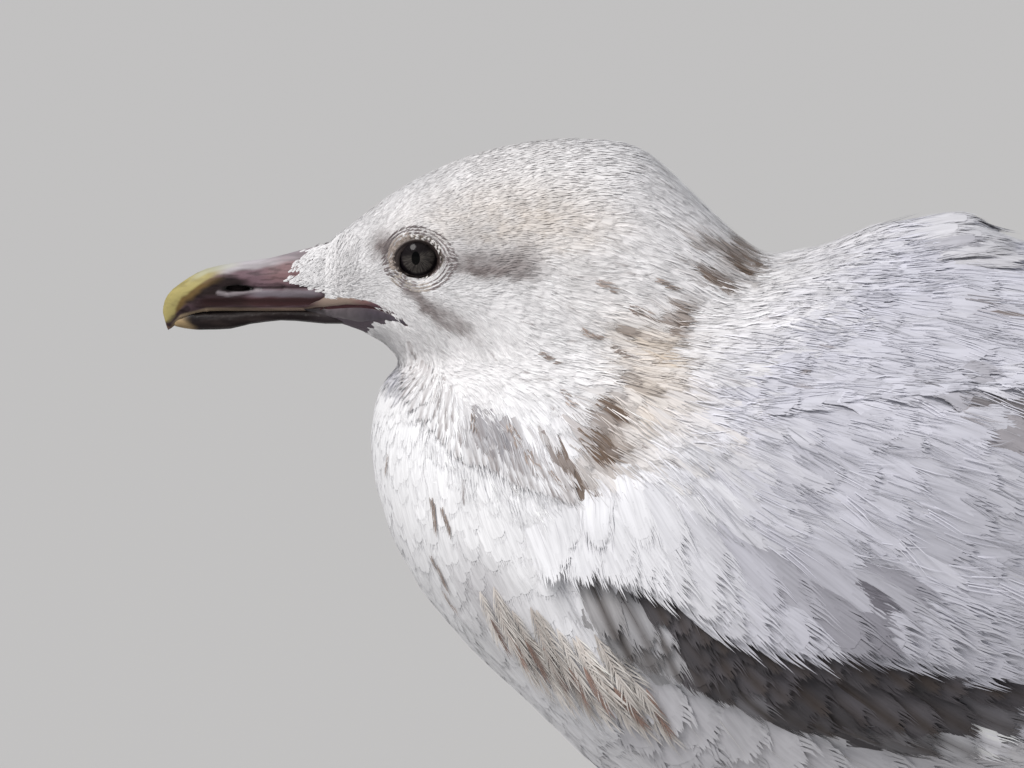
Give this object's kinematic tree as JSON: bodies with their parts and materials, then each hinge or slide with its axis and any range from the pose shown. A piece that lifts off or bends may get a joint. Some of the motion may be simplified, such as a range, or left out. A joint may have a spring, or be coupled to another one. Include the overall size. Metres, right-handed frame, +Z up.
{
  "type": "seagull",
  "caption": "Young herring gull standing at rest, neck drawn in and wings folded, in pale moulting plumage.",
  "frame": {"origin": "on the floor under the middle of the bird's length and width", "axes": "+Z up, -X towards the bill, -Y towards the bird's left side"},
  "size_m": [0.5448, 0.1544, 0.282],
  "materials": {
    "plumage": "matte",
    "flight": "matte",
    "bill": "satin",
    "eye": "gloss",
    "leg": "satin",
    "claw": "satin"
  },
  "bodies": {
    "root": {"head": "plumage", "neck": "plumage", "trunk": "plumage", "tail": "flight", "wing_left": "plumage", "primaries_left": "flight", "thigh_left": "plumage", "tarsus_left": "leg", "foot_left": "leg", "hallux_left": "leg", "claw_left_inner": "claw", "claw_left_middle": "claw", "claw_left_outer": "claw", "claw_left_hind": "claw", "eye_left": "eye", "wing_right": "plumage", "primaries_right": "flight", "thigh_right": "plumage", "tarsus_right": "leg", "foot_right": "leg", "hallux_right": "leg", "claw_right_inner": "claw", "claw_right_middle": "claw", "claw_right_outer": "claw", "claw_right_hind": "claw", "eye_right": "eye", "bill_upper": "bill", "bill_lower": "bill"}
  },
  "joints": []
}
